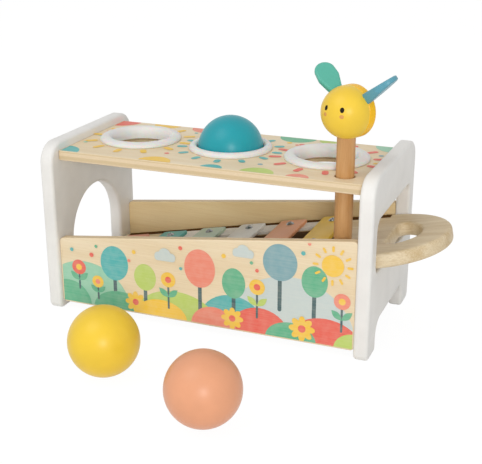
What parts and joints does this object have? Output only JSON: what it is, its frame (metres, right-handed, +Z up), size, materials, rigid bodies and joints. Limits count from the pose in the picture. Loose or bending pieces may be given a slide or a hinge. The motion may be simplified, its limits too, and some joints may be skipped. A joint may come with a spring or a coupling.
{
  "type": "ball pounding xylophone",
  "caption": "Toy pounding bench: balls pressed through soft collars drop on a sloping slide-out xylophone with a loop handle, with an eared mallet on top and loose balls.",
  "frame": {"origin": "middle of the whole set's footprint on the floor", "axes": "+X along the bench towards the handle, -Y towards the front, +Z up"},
  "size_m": [0.2796, 0.248, 0.1857],
  "materials": {
    "white_paint": "satin white lacquer on plywood",
    "plywood": "clear matt lacquer",
    "beech": "clear matt lacquer",
    "beech_dark": "clear matt lacquer",
    "soft_collar": "soft white collar",
    "teal_paint": "satin lacquer",
    "yellow_paint": "satin lacquer",
    "coral_paint": "satin lacquer",
    "mint_paint": "satin lacquer",
    "blue_paint": "satin lacquer",
    "felt": "pressed felt",
    "key_coral": "satin enamel",
    "key_teal": "satin enamel",
    "key_green": "satin enamel",
    "key_grey": "satin enamel",
    "key_salmon": "satin enamel",
    "key_yellow": "satin enamel",
    "screw_steel": "nickel-plated"
  },
  "bodies": {
    "bench": {"left_end_panel": "white_paint", "right_end_panel": "white_paint", "top_board": "plywood", "front_wall": "plywood", "back_wall": "plywood", "top_pegs": "beech", "front_wall_pegs": "beech", "back_wall_pegs": "beech", "front_runner": "beech", "back_runner": "beech", "hammer_rest": "beech_dark", "collar_strip": "plywood", "left_collar": "soft_collar", "middle_collar": "soft_collar", "right_collar": "soft_collar"},
    "xylophone": {"xylophone_base": "beech", "front_rail": "felt", "back_rail": "felt", "key_1": "key_coral", "key_2": "key_teal", "key_3": "key_green", "key_4": "key_grey", "key_5": "key_salmon", "key_6": "key_yellow", "key_screws": "screw_steel"},
    "hammer": {"hammer_handle": "beech_dark", "hammer_head": "yellow_paint", "left_ear": "mint_paint", "right_ear": "blue_paint"},
    "held_ball": {"teal_ball": "teal_paint"},
    "left_loose_ball": {"yellow_ball": "yellow_paint"},
    "right_loose_ball": {"coral_ball": "coral_paint"}
  },
  "joints": [
    {"name": "xylophone_slide", "type": "slide", "parent": "bench", "child": "xylophone", "axis": [0.9799, 0, 0.1994], "range_m": [0, 0.19]},
    {"name": "hammer_lift", "type": "slide", "parent": "bench", "child": "hammer", "axis": [0, 0, 1], "range_m": [0, 0.06]},
    {"name": "held_ball_press", "type": "slide", "parent": "bench", "child": "held_ball", "axis": [0, 0, 1], "range_m": [-0.04, 0.05]},
    {"name": "left_ball_roll", "type": "slide", "parent": "bench", "child": "left_loose_ball", "axis": [1, 0, 0], "range_m": [-0.04, 0.04]},
    {"name": "right_ball_roll", "type": "slide", "parent": "bench", "child": "right_loose_ball", "axis": [1, 0, 0], "range_m": [-0.04, 0.04]}
  ]
}
